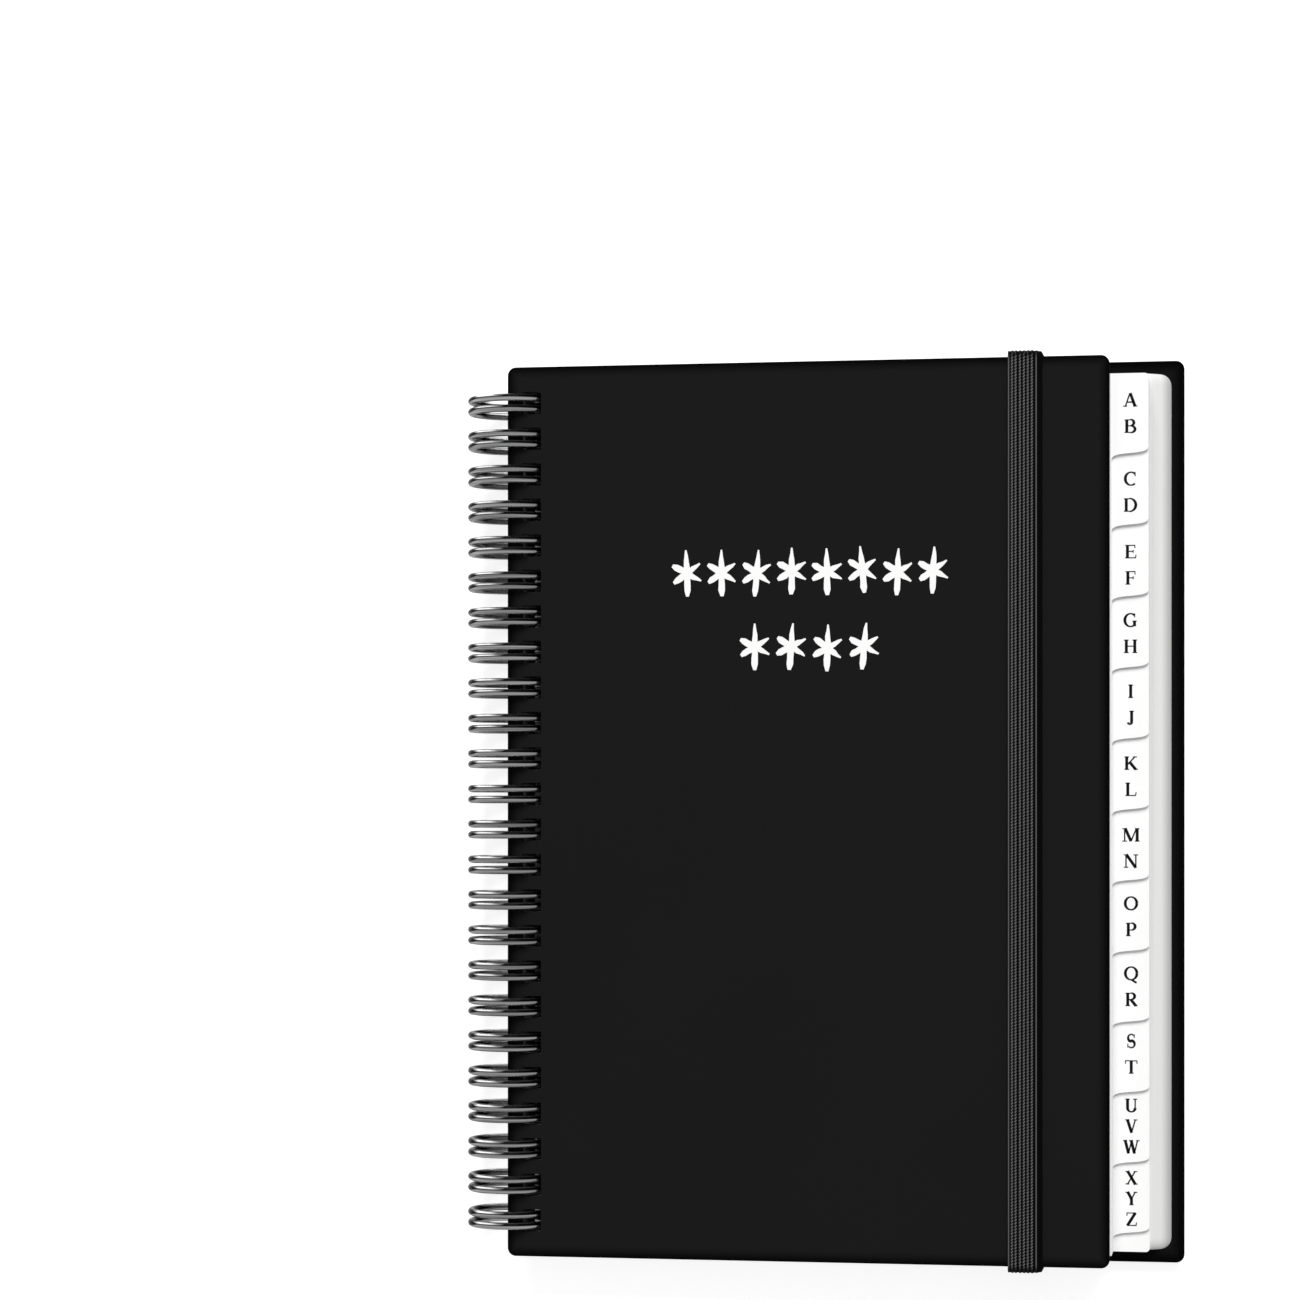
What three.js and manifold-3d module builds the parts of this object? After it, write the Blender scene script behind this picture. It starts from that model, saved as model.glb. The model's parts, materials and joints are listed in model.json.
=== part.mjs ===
// Address book bound with a twin-loop wire: two board covers, opening sheets, twelve
// tabbed index dividers with a block of sheets behind each, a plain divider, a block of
// note sheets, the wire itself, and an elastic closing band riveted to the back cover.
// Millimetres. The book lies shut on its back cover, the spine along Y on the -X side.

import * as THREE from 'three';
import * as BufferGeometryUtils from 'three/addons/utils/BufferGeometryUtils.js';
import Module from 'manifold-3d';

const wasm = await Module();
wasm.setup();

// Covers
const COVER_HEIGHT = 212;
const BACK_COVER_WIDTH = 159.5;
const COVER_THICKNESS = 1.2;
const COVER_CORNER_RADIUS = 2;
const SPINE_GAP = 0.5; // from the ring's centre line to a cover's spine edge

// Leaves, from their sheets' thickness to how far each kind stands back
const SECTIONS = ['ab', 'cd', 'ef', 'gh', 'ij', 'kl', 'mn', 'op', 'qr', 'st', 'uvw', 'xyz'];
const DIVIDER_THICKNESS = 0.25;
const SECTION_PAGES_THICKNESS = 0.4;
const OPENING_THICKNESS = 0.2; // sheets before the first divider
const NOTES_THICKNESS = 3.155;
const LEAF_GAP = 0.045;
const LEAF_HEAD_MARGIN = 4.2; // cover beyond the leaves at the head, as they hang a little low
const LEAF_TAIL_MARGIN = 2.8;
const LEAF_SPINE_INSET = 1.2; // leaves behind the covers' spine edges
const NOTES_SETBACK = 3; // note sheets behind the back cover's fore-edge
const NOTES_END_MARGIN = 3.1; // cover beyond the note sheets at head and tail
const NOTES_CORNER_RADIUS = 2.8;
const TAB_SETBACK = 5; // tabs behind the note sheets' fore-edge
const TAB_DEPTH = 8.5; // tabs beyond the pages' fore-edge
const FRONT_COVER_SETBACK = 0.4; // front cover behind the pages' fore-edge

// Index tabs
const FIRST_TAB_EXTRA = 2; // first tab longer than the others
const BLANK_STRIP = 4.6; // below the last tab
const TAB_RISE = 2.8; // height of the S curve that ends a tab
const TAB_CURVE_PULL = 0.76; // how far the curve's ends run along the edges, as a share of its rise
const TAB_CORNER_RADIUS = 0.9;

// Twin-loop wire and its holes
const WIRE_DIAMETER = 1.8;
const WIRE_ROOM = 1.25; // from a cover's outer face to the inside of a loop
const LOOP_PITCH = 8.467; // three loops to the inch
const LOOP_WIDTH = 2.6; // between the centres of a loop's two wires
const ROOT_BEND_RADIUS = 1.2;
const ROOT_ANGLE = -72; // where the loops are linked, below the back cover
const TIP_CLEARANCE = 17; // between the links and the loops' tips
const LEG_STEPS = 18;
const ROOT_BEND_STEPS = 2;
const TIP_BEND_STEPS = 3;
const WIRE_SIDES = 4;
const HOLE_PLAY_X = 0.15;
const HOLE_PLAY_Y = 0.45;
const LEAF_HOLE_EXTRA = 1.6; // leaf holes reach further towards the spine, to lie easy on the curve
const HOLE_END_MARGIN = 1.5; // least paper beyond the outermost holes
const PANEL_MARGIN = 1; // from the holes and the band to a cover's bare panel

// Elastic band and its rivets
const BAND_WIDTH = 8;
const BAND_THICKNESS = 1;
const BAND_SETBACK = 36.4; // band's middle behind the back cover's fore-edge
const BAND_GAP = 0.15;
const BAND_END_GAP = 0.5; // from the covers' head and tail to the inside of the band's folds
const BAND_BEND_RADIUS = 1.7;
const BAND_TURN_IN = 18; // length of the strands behind the back cover
const RIVET_TO_BAND_END = 4;
const RIVET_SHANK_RADIUS = 1.1;
const RIVET_HOLE_PLAY = 0.3;
const RIVET_HEAD_RADIUS = 3;
const RIVET_HEAD_THICKNESS = 0.5;
const RIVET_CROWN_SHARE = 0.7; // flat crown's radius as a share of the head's
const RIVET_RIM_SHARE = 0.33; // straight rim's height as a share of the head's
const RIVET_GAP = 0.1;
const RIVET_FOOT_RADIUS = 2.2;
const RIVET_FOOT_THICKNESS = 0.35;
const RIVET_SIDES = 12;

// Facets of a rounded corner, and how near two points are the same point
const CURVE_STEPS = 5;
const SAME_POINT = 1e-4;

const degrees = THREE.MathUtils.degToRad;

// Widths, all measured from the covers' spine edges
const notesReach = BACK_COVER_WIDTH - NOTES_SETBACK;
const tabReach = notesReach - TAB_SETBACK;
const pageReach = tabReach - TAB_DEPTH;
const frontCoverWidth = pageReach - FRONT_COVER_SETBACK;
const coverHead = COVER_HEIGHT / 2;
const leafHead = coverHead - LEAF_HEAD_MARGIN;
const leafTail = LEAF_TAIL_MARGIN - coverHead;
const notesHead = coverHead - NOTES_END_MARGIN;

// The closed block, from the back cover up to the front cover
const leafCount = 2 * SECTIONS.length + 3;
const leavesThickness =
  OPENING_THICKNESS +
  (SECTIONS.length + 1) * DIVIDER_THICKNESS +
  SECTIONS.length * SECTION_PAGES_THICKNESS +
  NOTES_THICKNESS +
  (leafCount + 1) * LEAF_GAP;
const blockThickness = leavesThickness + 2 * COVER_THICKNESS;

// The ring that the loops make, centred on the block's middle
const wireRadius = WIRE_DIAMETER / 2;
const ringInnerRadius = blockThickness / 2 + WIRE_ROOM;
const ringRadius = ringInnerRadius + wireRadius;
const ringOuterRadius = ringRadius + wireRadius;
const tipAngle = 360 + ROOT_ANGLE - TIP_CLEARANCE;
const legStepAngle = (tipAngle - ROOT_ANGLE) / LEG_STEPS;

// Holes: as wide as the ring's sweep through the leaves, one for each loop
const holeHeight = LOOP_WIDTH + WIRE_DIAMETER + 2 * HOLE_PLAY_Y;
const loopRoom = 2 * (leafHead - HOLE_END_MARGIN) - holeHeight;
const loopCount = Math.floor(loopRoom / LOOP_PITCH) + 1;
const loopY = (index) => (index - (loopCount - 1) / 2) * LOOP_PITCH;

// Twin-loop wire: one wire whose route is drawn flat, as arc length round the ring
// against height along the spine, and then rolled onto the ring
function wireRoute() {
  const route = [];
  const rootS = degrees(ROOT_ANGLE) * ringRadius;
  const tipS = degrees(tipAngle) * ringRadius;
  const half = LOOP_WIDTH / 2;
  const arc = (centreS, centreY, radius, from, to, steps) => {
    for (let step = 0; step <= steps; step += 1) {
      const angle = degrees(from + ((to - from) * step) / steps);
      route.push([centreS + radius * Math.cos(angle), centreY + radius * Math.sin(angle)]);
    }
  };
  const legStart = rootS + ROOT_BEND_RADIUS;
  const legEnd = tipS - half;
  const leg = (y, from, to) => {
    for (let step = 1; step < LEG_STEPS; step += 1) {
      route.push([from + ((to - from) * step) / LEG_STEPS, y]);
    }
  };
  for (let index = 0; index < loopCount; index += 1) {
    const low = loopY(index) - half;
    const high = loopY(index) + half;
    arc(legStart, low - ROOT_BEND_RADIUS, ROOT_BEND_RADIUS, 180, 90, ROOT_BEND_STEPS);
    leg(low, legStart, legEnd);
    arc(legEnd, loopY(index), half, -90, 90, TIP_BEND_STEPS);
    leg(high, legEnd, legStart);
    arc(legStart, high + ROOT_BEND_RADIUS, ROOT_BEND_RADIUS, -90, -180, ROOT_BEND_STEPS);
  }
  return route;
}

const route = wireRoute();
const routeAngles = route.map(([s]) => s / ringRadius);

// The book's place: middle of its width at x = 0, underside of the ring at z = 0
const ringLeft = ringOuterRadius * Math.max(...routeAngles.map((angle) => -Math.cos(angle)));
const ringZ = ringOuterRadius * Math.max(...routeAngles.map((angle) => -Math.sin(angle)));
const ringX = -(SPINE_GAP + BACK_COVER_WIDTH - ringLeft) / 2;
const backCoverBottom = ringZ - blockThickness / 2;
const frontCoverTop = ringZ + blockThickness / 2;

// Where a faceted loop's wire lies, from its inside to its outside, between two heights
function wireSpan(nearHeight, farHeight) {
  const facetRadius = ringInnerRadius * Math.cos(degrees(legStepAngle / 2));
  const inside = Math.sqrt(facetRadius ** 2 - farHeight ** 2);
  const outside = Math.sqrt(ringOuterRadius ** 2 - nearHeight ** 2);
  return [inside, outside];
}

const [leafWireIn, leafWireOut] = wireSpan(0, leavesThickness / 2);
const [coverWireIn, coverWireOut] = wireSpan(leavesThickness / 2, blockThickness / 2);
const leafHoleSides = [leafWireIn - HOLE_PLAY_X - LEAF_HOLE_EXTRA, leafWireOut + HOLE_PLAY_X];
const coverHoleSides = [coverWireIn - HOLE_PLAY_X, coverWireOut + HOLE_PLAY_X];

// Finishes
const blackBoard = { color: 0x1b1b1b, roughness: 0.6, metalness: 0 };
const whiteCard = { color: 0xf4f4f2, roughness: 0.85, metalness: 0 };
const whitePaper = { color: 0xeeeeec, roughness: 0.9, metalness: 0 };
const gunmetal = { color: 0x55565a, roughness: 0.3, metalness: 1 };
const blackElastic = { color: 0x222224, roughness: 0.9, metalness: 0 };
const blackRivet = { color: 0x2a2a2c, roughness: 0.35, metalness: 1 };

const book = new THREE.Group();

function addPiece(name, geometry, finish, position) {
  const mesh = new THREE.Mesh(geometry, new THREE.MeshStandardMaterial(finish));
  mesh.name = name;
  mesh.position.set(...position);
  book.add(mesh);
}

function toManifold(geometry) {
  const bare = geometry.clone();
  bare.deleteAttribute('normal');
  bare.deleteAttribute('uv');
  const merged = BufferGeometryUtils.mergeVertices(bare, SAME_POINT);
  const vertProperties = new Float32Array(merged.attributes.position.array);
  const triVerts = new Uint32Array(merged.index.array);
  return new wasm.Manifold(new wasm.Mesh({ numProp: 3, vertProperties, triVerts }));
}

function fromManifold(solid) {
  const { vertProperties, triVerts } = solid.getMesh();
  const geometry = new THREE.BufferGeometry();
  geometry.setAttribute('position', new THREE.BufferAttribute(vertProperties, 3));
  geometry.setIndex(new THREE.BufferAttribute(triVerts, 1));
  geometry.computeVertexNormals();
  return geometry;
}

function cut(geometry, cutters) {
  const whole = toManifold(geometry);
  return fromManifold(cutters.reduce((solid, cutter) => solid.subtract(toManifold(cutter)), whole));
}

// An upright cylinder between two heights
function post(radius, low, high, sides, x, y) {
  const geometry = new THREE.CylinderGeometry(radius, radius, high - low, sides);
  geometry.rotateX(Math.PI / 2);
  geometry.translate(x, y, (low + high) / 2);
  return geometry;
}

// The row of square holes along the spine, each a ring of corners that runs clockwise
function squareHoles([left, right]) {
  return Array.from({ length: loopCount }, (unused, index) => {
    const low = loopY(index) - holeHeight / 2;
    const high = loopY(index) + holeHeight / 2;
    const corners = [[left, low], [left, high], [right, high], [right, low]];
    return corners.map(([x, y]) => new THREE.Vector2(x, y));
  });
}

// A flat piece with walls square to its faces. Its faces are divided at the given places
// across it. A hole is a ring of points, or two rings where it is wider above a seat.
function slab(shape, holes, thickness, divisions = [], seatedHoles = [], seatHeight = 0) {
  const positions = [];
  const indices = [];
  const addRing = (points, height) => points.map((point) => {
    positions.push(point.x, point.y, height);
    return Object.assign(point.clone(), { index: positions.length / 3 - 1 });
  });
  const strip = (lower, upper) => lower.forEach((corner, place) => {
    const next = (place + 1) % lower.length;
    indices.push(corner.index, lower[next].index, upper[next].index);
    indices.push(corner.index, upper[next].index, upper[place].index);
  });
  const outline = divide(shape.getPoints(CURVE_STEPS), divisions);
  const bottom = [addRing(outline, 0)];
  const top = [addRing(outline, thickness)];
  strip(bottom[0], top[0]);
  holes.forEach((hole) => {
    bottom.push(addRing(hole, 0));
    top.push(addRing(hole, thickness));
    strip(bottom.at(-1), top.at(-1));
  });
  seatedHoles.forEach(([narrow, wide]) => {
    bottom.push(addRing(narrow, 0));
    const seatInside = addRing(narrow, seatHeight);
    const seatOutside = addRing(wide, seatHeight);
    top.push(addRing(wide, thickness));
    strip(bottom.at(-1), seatInside);
    strip(seatInside, seatOutside);
    strip(seatOutside, top.at(-1));
  });
  const edges = [-Infinity, ...divisions, Infinity];
  const cover = ([contour, ...rings], turned) => {
    for (let panel = 0; panel + 1 < edges.length; panel += 1) {
      const inPanel = ({ x }) => x >= edges[panel] && x <= edges[panel + 1];
      const border = contour.filter(inPanel);
      const gaps = rings.filter((ring) => inPanel(ring[0]));
      const corners = [border, ...gaps].flat();
      THREE.ShapeUtils.triangulateShape(border, gaps).forEach(([one, two, three]) => {
        const face = [corners[one].index, corners[two].index, corners[three].index];
        indices.push(...(turned ? face.reverse() : face));
      });
    }
  };
  cover(bottom, true);
  cover(top, false);
  const geometry = new THREE.BufferGeometry();
  geometry.setAttribute('position', new THREE.Float32BufferAttribute(positions, 3));
  geometry.setIndex(indices);
  geometry.computeVertexNormals();
  return geometry;
}

// An outline without repeated points, and with a point wherever it crosses a division
function divide(points, divisions) {
  const outline = points.filter((point, place) => point.distanceTo(points.at(place - 1)) > SAME_POINT);
  return outline.flatMap((point, place) => {
    const next = outline[(place + 1) % outline.length];
    const crossings = divisions
      .map((x) => (x - point.x) / (next.x - point.x))
      .filter((share) => share > 0 && share < 1)
      .sort((one, other) => one - other);
    const extra = crossings.map((share) => point.clone().lerp(next, share));
    return [point, ...extra.map((found) => snap(found, divisions))];
  });
}

// A crossing's place across the piece is made exactly its division's
function snap(point, divisions) {
  const nearest = divisions.reduce((one, other) =>
    (Math.abs(other - point.x) < Math.abs(one - point.x) ? other : one));
  return new THREE.Vector2(nearest, point.y);
}

// A round hole's ring of points, clockwise
function ringOf(radius, x, y) {
  return Array.from({ length: RIVET_SIDES }, (unused, place) => {
    const angle = (-2 * Math.PI * place) / RIVET_SIDES;
    return new THREE.Vector2(x + radius * Math.cos(angle), y + radius * Math.sin(angle));
  });
}

// A rectangle with its own radius at the spine corners and at the fore-edge corners
function leafShape([left, right], [tail, head], spineRadius, foreRadius) {
  const shape = new THREE.Shape();
  shape.moveTo(left + spineRadius, tail);
  shape.lineTo(right - foreRadius, tail);
  if (foreRadius) shape.absarc(right - foreRadius, tail + foreRadius, foreRadius, -Math.PI / 2, 0);
  shape.lineTo(right, head - foreRadius);
  if (foreRadius) shape.absarc(right - foreRadius, head - foreRadius, foreRadius, 0, Math.PI / 2);
  shape.lineTo(left + spineRadius, head);
  if (spineRadius) shape.absarc(left + spineRadius, head - spineRadius, spineRadius, Math.PI / 2, Math.PI);
  shape.lineTo(left, tail + spineRadius);
  if (spineRadius) shape.absarc(left + spineRadius, tail + spineRadius, spineRadius, Math.PI, 1.5 * Math.PI);
  return shape;
}

// A divider is wide down to the foot of its own tab, and as narrow as the pages below it.
// The curve between is steep at both ends and nearly level in the middle.
function dividerShape(left, pageEdge, tabEdge, tabFoot) {
  const rise = TAB_RISE / 2;
  const pull = TAB_RISE * TAB_CURVE_PULL;
  const shape = new THREE.Shape();
  shape.moveTo(left, leafTail);
  shape.lineTo(pageEdge, leafTail);
  shape.lineTo(pageEdge, tabFoot - rise);
  const lowPull = tabFoot - rise + pull;
  const highPull = tabFoot + rise - pull;
  shape.bezierCurveTo(pageEdge, lowPull, tabEdge, highPull, tabEdge, tabFoot + rise);
  shape.lineTo(tabEdge, leafHead - TAB_CORNER_RADIUS);
  shape.absarc(tabEdge - TAB_CORNER_RADIUS, leafHead - TAB_CORNER_RADIUS, TAB_CORNER_RADIUS, 0, Math.PI / 2);
  shape.lineTo(left, leafHead);
  return shape;
}

// Edges of the leaves and covers, measured from the ring's centre line
const coverLeft = SPINE_GAP;
const leafLeft = SPINE_GAP + LEAF_SPINE_INSET;
const pageEdge = SPINE_GAP + pageReach;
const tabEdge = SPINE_GAP + tabReach;
const notesEdge = SPINE_GAP + notesReach;
const bandX = SPINE_GAP + BACK_COVER_WIDTH - BAND_SETBACK;

// Elastic band: over the front cover, round head and tail, and a short way behind the back cover
const bandInnerTop = frontCoverTop + BAND_GAP;
const bandInnerBottom = backCoverBottom - BAND_GAP;
const bandInnerEnd = coverHead + BAND_END_GAP;
const bandOuterEnd = bandInnerEnd + BAND_THICKNESS;
const bandStrandEnd = bandOuterEnd - BAND_TURN_IN;
const rivetY = bandStrandEnd + RIVET_TO_BAND_END;

function bandProfile() {
  const outerTop = bandInnerTop + BAND_THICKNESS;
  const outerBottom = bandInnerBottom - BAND_THICKNESS;
  const bend = BAND_BEND_RADIUS;
  const shape = new THREE.Shape();
  shape.moveTo(-bandStrandEnd, outerBottom);
  shape.lineTo(-bandStrandEnd, bandInnerBottom);
  shape.lineTo(-bandInnerEnd, bandInnerBottom);
  shape.lineTo(-bandInnerEnd, bandInnerTop);
  shape.lineTo(bandInnerEnd, bandInnerTop);
  shape.lineTo(bandInnerEnd, bandInnerBottom);
  shape.lineTo(bandStrandEnd, bandInnerBottom);
  shape.lineTo(bandStrandEnd, outerBottom);
  shape.lineTo(bandOuterEnd - bend, outerBottom);
  shape.absarc(bandOuterEnd - bend, outerBottom + bend, bend, -Math.PI / 2, 0);
  shape.lineTo(bandOuterEnd, outerTop - bend);
  shape.absarc(bandOuterEnd - bend, outerTop - bend, bend, 0, Math.PI / 2);
  shape.lineTo(-bandOuterEnd + bend, outerTop);
  shape.absarc(-bandOuterEnd + bend, outerTop - bend, bend, Math.PI / 2, Math.PI);
  shape.lineTo(-bandOuterEnd, outerBottom + bend);
  shape.absarc(-bandOuterEnd + bend, outerBottom + bend, bend, Math.PI, 1.5 * Math.PI);
  return shape;
}

const rivetHoleRadius = RIVET_SHANK_RADIUS + RIVET_HOLE_PLAY;
const rivetHeadTop = bandInnerBottom - BAND_THICKNESS - RIVET_GAP;
const rivetSeatTop = backCoverBottom + COVER_THICKNESS;
const rivetSeatBottom = rivetSeatTop - RIVET_FOOT_THICKNESS - 2 * RIVET_GAP;

// Cutters through the strands, from well below them up to the ring's centre
function rivetHoleCutters() {
  const low = bandInnerBottom - 2 * BAND_THICKNESS;
  return [rivetY, -rivetY].map((y) => post(rivetHoleRadius, low, ringZ, RIVET_SIDES, bandX, y));
}

function bandGeometry() {
  const strip = new THREE.ExtrudeGeometry(bandProfile(), {
    depth: BAND_WIDTH, bevelEnabled: false, curveSegments: CURVE_STEPS });
  // the profile's x and y become the book's y and z, and its depth becomes x
  strip.applyMatrix4(new THREE.Matrix4().set(0, 0, 1, 0, 1, 0, 0, 0, 0, 1, 0, 0, 0, 0, 0, 1));
  strip.translate(bandX - BAND_WIDTH / 2, 0, 0);
  return cut(strip, rivetHoleCutters());
}

addPiece('elastic_band', bandGeometry(), blackElastic, [ringX, 0, 0]);

// Rivet: a domed head outside, a shank through band and cover, and a foot sunk in the cover
function rivetGeometry() {
  const headBottom = rivetHeadTop - RIVET_HEAD_THICKNESS;
  const footBottom = rivetSeatBottom + RIVET_GAP;
  const profile = [
    [0, headBottom],
    [RIVET_HEAD_RADIUS * RIVET_CROWN_SHARE, headBottom],
    [RIVET_HEAD_RADIUS, rivetHeadTop - RIVET_HEAD_THICKNESS * RIVET_RIM_SHARE],
    [RIVET_HEAD_RADIUS, rivetHeadTop],
    [RIVET_SHANK_RADIUS, rivetHeadTop],
    [RIVET_SHANK_RADIUS, footBottom],
    [RIVET_FOOT_RADIUS, footBottom],
    [RIVET_FOOT_RADIUS, footBottom + RIVET_FOOT_THICKNESS],
    [0, footBottom + RIVET_FOOT_THICKNESS],
  ].map(([radius, height]) => new THREE.Vector2(radius, height));
  const geometry = new THREE.LatheGeometry(profile, RIVET_SIDES);
  geometry.rotateX(Math.PI / 2);
  return geometry;
}

addPiece('band_rivet_top', rivetGeometry(), blackRivet, [ringX + bandX, rivetY, 0]);
addPiece('band_rivet_bottom', rivetGeometry(), blackRivet, [ringX + bandX, -rivetY, 0]);

// Covers. The bare panel between the wire and the band is a face of its own.
const coverPanel = [coverHoleSides[1] + PANEL_MARGIN, bandX - BAND_WIDTH / 2 - PANEL_MARGIN];

function coverShape(width) {
  const radius = COVER_CORNER_RADIUS;
  return leafShape([coverLeft, coverLeft + width], [-coverHead, coverHead], radius, radius);
}

const rivetSeatRadius = RIVET_FOOT_RADIUS + RIVET_HOLE_PLAY;
const seatedHoles = [rivetY, -rivetY].map((y) => [
  ringOf(rivetHoleRadius, bandX, y), ringOf(rivetSeatRadius, bandX, y)]);
const backCover = slab(coverShape(BACK_COVER_WIDTH), squareHoles(coverHoleSides), COVER_THICKNESS,
  coverPanel, seatedHoles, rivetSeatBottom - backCoverBottom);
const frontCover = slab(coverShape(frontCoverWidth), squareHoles(coverHoleSides), COVER_THICKNESS,
  coverPanel);

addPiece('back_cover', backCover, blackBoard, [ringX, 0, backCoverBottom]);
addPiece('front_cover', frontCover, blackBoard, [ringX, 0, frontCoverTop - COVER_THICKNESS]);

// Leaves, laid from the front cover down
const pagesShape = leafShape([leafLeft, pageEdge], [leafTail, leafHead], 0, 0);
const firstTabStart = leafHead - FIRST_TAB_EXTRA;
const tabPitch = (firstTabStart - leafTail - BLANK_STRIP) / SECTIONS.length;
const tabFoot = (index) => firstTabStart - (index + 1) * tabPitch;

let leafTop = frontCoverTop - COVER_THICKNESS;

function layLeaf(name, shape, thickness, finish) {
  const bottom = leafTop - LEAF_GAP - thickness;
  addPiece(name, slab(shape, squareHoles(leafHoleSides), thickness), finish, [ringX, 0, bottom]);
  leafTop = bottom;
}

layLeaf('opening_sheets', pagesShape, OPENING_THICKNESS, whitePaper);

SECTIONS.forEach((letters, index) => {
  const outline = dividerShape(leafLeft, pageEdge, tabEdge, tabFoot(index));
  layLeaf(`tab_divider_${letters}`, outline, DIVIDER_THICKNESS, whiteCard);
  layLeaf(`pages_${letters}`, pagesShape, SECTION_PAGES_THICKNESS, whitePaper);
});

const blankShape = leafShape([leafLeft, tabEdge], [leafTail, leafHead], 0, TAB_CORNER_RADIUS);
layLeaf('blank_divider', blankShape, DIVIDER_THICKNESS, whiteCard);

const notesShape = leafShape([leafLeft, notesEdge], [-notesHead, notesHead], 0, NOTES_CORNER_RADIUS);
layLeaf('notes_pages', notesShape, NOTES_THICKNESS, whitePaper);

// The least gap between stretches of the wire that are further apart along it than a loop's U bend
function leastWireGap() {
  const points = route.map(([, y], index) => new THREE.Vector3(
    ringRadius * Math.cos(routeAngles[index]), y, ringRadius * Math.sin(routeAngles[index])));
  const runs = [0];
  for (let index = 1; index < points.length; index += 1) {
    runs.push(runs[index - 1] + points[index].distanceTo(points[index - 1]));
  }
  const bendLength = Math.PI * LOOP_WIDTH;
  let least = Infinity;
  for (let one = 0; one < points.length; one += 1) {
    for (let other = one + 1; other < points.length; other += 1) {
      if (runs[other] - runs[one] < bendLength) continue;
      least = Math.min(least, points[one].distanceTo(points[other]) - WIRE_DIAMETER);
    }
  }
  return least;
}

console.log(`least gap of the wire to itself: ${leastWireGap().toFixed(2)} mm`);

// The wire's section is carried along its route, square to the ring
function wireGeometry() {
  const positions = [];
  const indices = [];
  const flat = route.map(([s, y]) => new THREE.Vector2(s, y));
  flat.forEach((point, index) => {
    const before = flat[Math.max(index - 1, 0)];
    const after = flat[Math.min(index + 1, flat.length - 1)];
    const incoming = point.clone().sub(before).normalize();
    const outgoing = after.clone().sub(point).normalize();
    const along = incoming.clone().add(outgoing).normalize();
    const reference = incoming.lengthSq() ? incoming : outgoing;
    const mitre = 1 / along.dot(reference);
    const angle = point.x / ringRadius;
    const radial = new THREE.Vector3(Math.cos(angle), 0, Math.sin(angle));
    const round = new THREE.Vector3(-Math.sin(angle), 0, Math.cos(angle));
    const across = round.multiplyScalar(-along.y).add(new THREE.Vector3(0, along.x, 0));
    for (let side = 0; side < WIRE_SIDES; side += 1) {
      const turn = (2 * Math.PI * side) / WIRE_SIDES;
      const place = radial.clone().multiplyScalar(ringRadius + wireRadius * Math.cos(turn));
      place.y = point.y;
      place.addScaledVector(across, wireRadius * mitre * Math.sin(turn));
      positions.push(place.x, place.y, place.z);
    }
  });
  const quad = (a, b, c, d) => indices.push(a, b, c, a, c, d);
  for (let ring = 0; ring + 1 < route.length; ring += 1) {
    for (let side = 0; side < WIRE_SIDES; side += 1) {
      const next = (side + 1) % WIRE_SIDES;
      const here = ring * WIRE_SIDES;
      const there = here + WIRE_SIDES;
      quad(here + side, here + next, there + next, there + side);
    }
  }
  const last = (route.length - 1) * WIRE_SIDES;
  for (let side = 1; side + 1 < WIRE_SIDES; side += 1) {
    indices.push(0, side + 1, side);
    indices.push(last, last + side, last + side + 1);
  }
  const geometry = new THREE.BufferGeometry();
  geometry.setAttribute('position', new THREE.Float32BufferAttribute(positions, 3));
  geometry.setIndex(indices);
  geometry.computeVertexNormals();
  return geometry;
}

addPiece('twin_loop_wire', wireGeometry(), gunmetal, [ringX, 0, ringZ]);

export default book;
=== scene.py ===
import json
import math
import random

import bmesh
import bpy
from mathutils import Matrix, Vector
from mathutils.geometry import interpolate_bezier


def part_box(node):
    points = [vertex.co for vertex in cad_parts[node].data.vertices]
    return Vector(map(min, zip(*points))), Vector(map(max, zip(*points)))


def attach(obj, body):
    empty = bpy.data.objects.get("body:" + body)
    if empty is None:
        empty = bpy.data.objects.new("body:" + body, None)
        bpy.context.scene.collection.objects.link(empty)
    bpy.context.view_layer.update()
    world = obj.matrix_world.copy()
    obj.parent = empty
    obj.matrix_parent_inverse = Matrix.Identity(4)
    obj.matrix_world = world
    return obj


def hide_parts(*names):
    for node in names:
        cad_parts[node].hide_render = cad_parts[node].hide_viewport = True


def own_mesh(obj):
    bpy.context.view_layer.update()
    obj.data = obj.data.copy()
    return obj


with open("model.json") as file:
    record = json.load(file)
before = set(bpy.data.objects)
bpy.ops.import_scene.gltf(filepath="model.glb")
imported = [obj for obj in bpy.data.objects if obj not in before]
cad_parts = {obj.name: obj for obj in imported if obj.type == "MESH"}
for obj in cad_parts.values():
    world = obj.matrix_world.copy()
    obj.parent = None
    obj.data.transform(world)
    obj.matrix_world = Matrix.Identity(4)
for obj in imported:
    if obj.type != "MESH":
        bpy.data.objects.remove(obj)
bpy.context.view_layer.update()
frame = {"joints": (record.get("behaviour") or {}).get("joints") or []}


# Camera: a long lens above the closed book. It stands almost ten degrees towards the
# fore-edge, so that the spine side is a little further away.
PHOTO_SIDE = 1300
FOCAL_PIXELS = 3569
VIEW_TURN = math.radians(9.7)
VIEW_DISTANCE = 0.8516
VIEW_ASIDE = 0.034
VIEW_DROP = 161.7

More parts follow.
